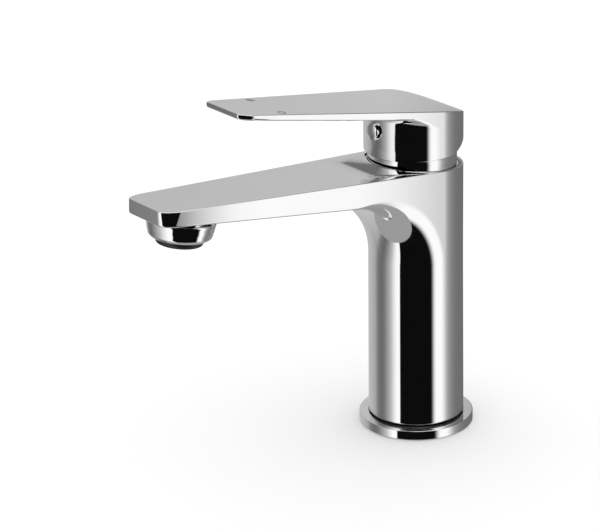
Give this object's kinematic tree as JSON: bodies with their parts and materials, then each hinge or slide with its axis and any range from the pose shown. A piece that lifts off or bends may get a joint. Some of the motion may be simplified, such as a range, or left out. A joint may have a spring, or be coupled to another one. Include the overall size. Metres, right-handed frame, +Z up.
{
  "type": "single lever basin mixer tap",
  "caption": "Chrome basin mixer tap with a round column, a flat rising spout with an aerator, and a flat lever that lifts and turns above a disc cartridge.",
  "frame": {"origin": "on the column's axis, at the underside of the base gasket, where the tap meets the deck", "axes": "+Z up along the column, the spout and the lever point to -Y, +X is to the right of someone facing the spout's side of the tap from the front"},
  "size_m": [0.0538, 0.1794, 0.1788],
  "materials": {
    "chrome": "polished plating on cast brass",
    "brass": "machined",
    "steel": "plain",
    "black_plastic": "moulded",
    "grey_plastic": "moulded",
    "dark_plastic": "moulded",
    "ceramic": "ground flat",
    "rubber": "moulded"
  },
  "bodies": {
    "root": {"base_gasket": "rubber", "base_flange": "chrome", "foot_o_ring": "rubber", "body_and_spout": "chrome", "aerator_collar": "chrome", "aerator_insert": "black_plastic", "aerator_screen": "steel", "aerator_washer": "rubber", "inlet_manifold": "brass", "cartridge_base": "grey_plastic", "hot_port_seal": "rubber", "cold_port_seal": "rubber", "outlet_port_seal": "rubber", "fixed_ceramic_disc": "ceramic", "cartridge_housing": "grey_plastic", "temperature_limit_ring": "dark_plastic", "cartridge_nut": "brass", "bonnet_ring": "chrome"},
    "carrier": {"stem_carrier": "dark_plastic", "pivot_pin": "steel"},
    "lever": {"lever_handle": "chrome", "lever_stem": "brass", "stem_sleeve": "grey_plastic", "grub_screw": "steel", "screw_plug": "chrome", "hot_mark": "dark_plastic", "cold_mark": "dark_plastic"},
    "disc": {"moving_ceramic_disc": "ceramic", "disc_driver": "dark_plastic"}
  },
  "joints": [
    {"name": "temperature_turn", "type": "hinge", "parent": "root", "child": "carrier", "pos_m": [0, -0.0019, 0.126], "axis": [0, 0, 1], "range_deg": [-45, 45]},
    {"name": "lever_lift", "type": "hinge", "parent": "carrier", "child": "lever", "pos_m": [0, -0.0019, 0.126], "axis": [-1, 0, 0], "range_deg": [0, 25]},
    {"name": "disc_slide", "type": "slide", "parent": "carrier", "child": "disc", "axis": [0, -1, 0], "range_m": [0, 0.0044]}
  ],
  "couplings": [
    {"joint": "disc_slide", "follows": "lever_lift", "m_per_rad": 0.01}
  ]
}
